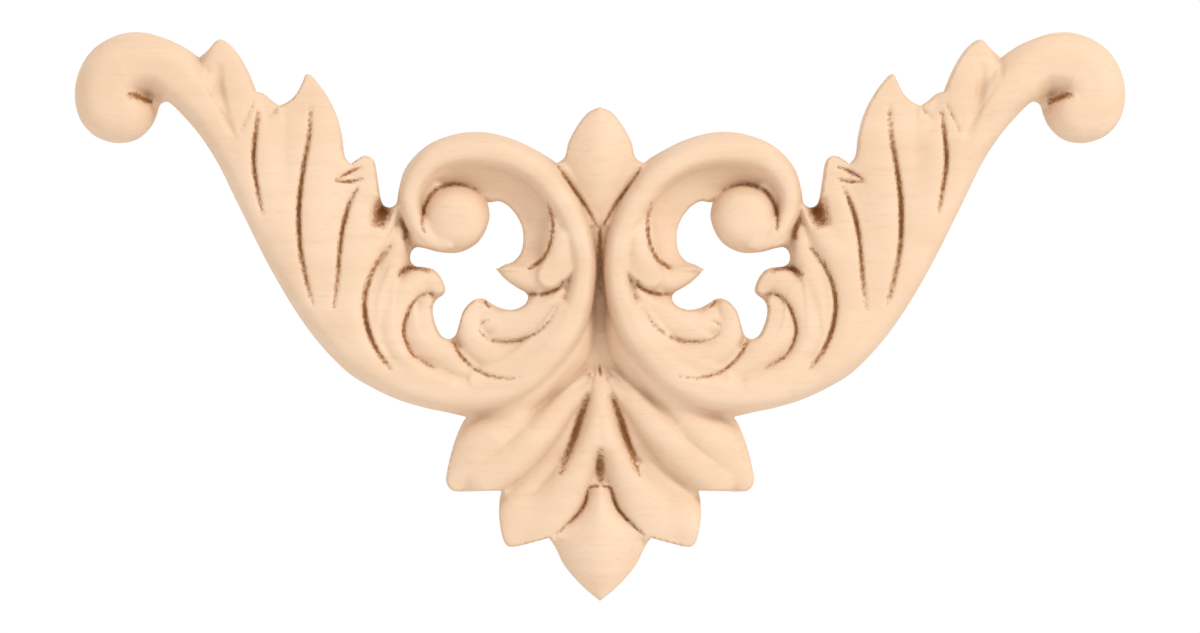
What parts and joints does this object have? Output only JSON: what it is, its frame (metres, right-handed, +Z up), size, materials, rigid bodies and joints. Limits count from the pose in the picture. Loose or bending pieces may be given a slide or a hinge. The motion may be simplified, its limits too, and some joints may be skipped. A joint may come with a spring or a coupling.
{
  "type": "corner onlay",
  "caption": "Carved wooden corner onlay: mirrored acanthus scroll arms meeting at a bud over a palmette, pierced inside the scrolls, with a flat back for gluing to a panel corner.",
  "frame": {"origin": "middle of the flat back, on its plane", "axes": "+Y is the outward normal of the flat back, so the carved face looks along -Y; +Z is up, from the palmette's tip to the bud; +X runs along the longest extent, from end curl to end curl"},
  "size_m": [0.1998, 0.012, 0.1082],
  "materials": {
    "bare_wood": "unfinished pale hardwood, smooth crests, darker tool marks in the cuts"
  },
  "bodies": {
    "root": {"corner_onlay": "bare_wood"}
  },
  "joints": []
}
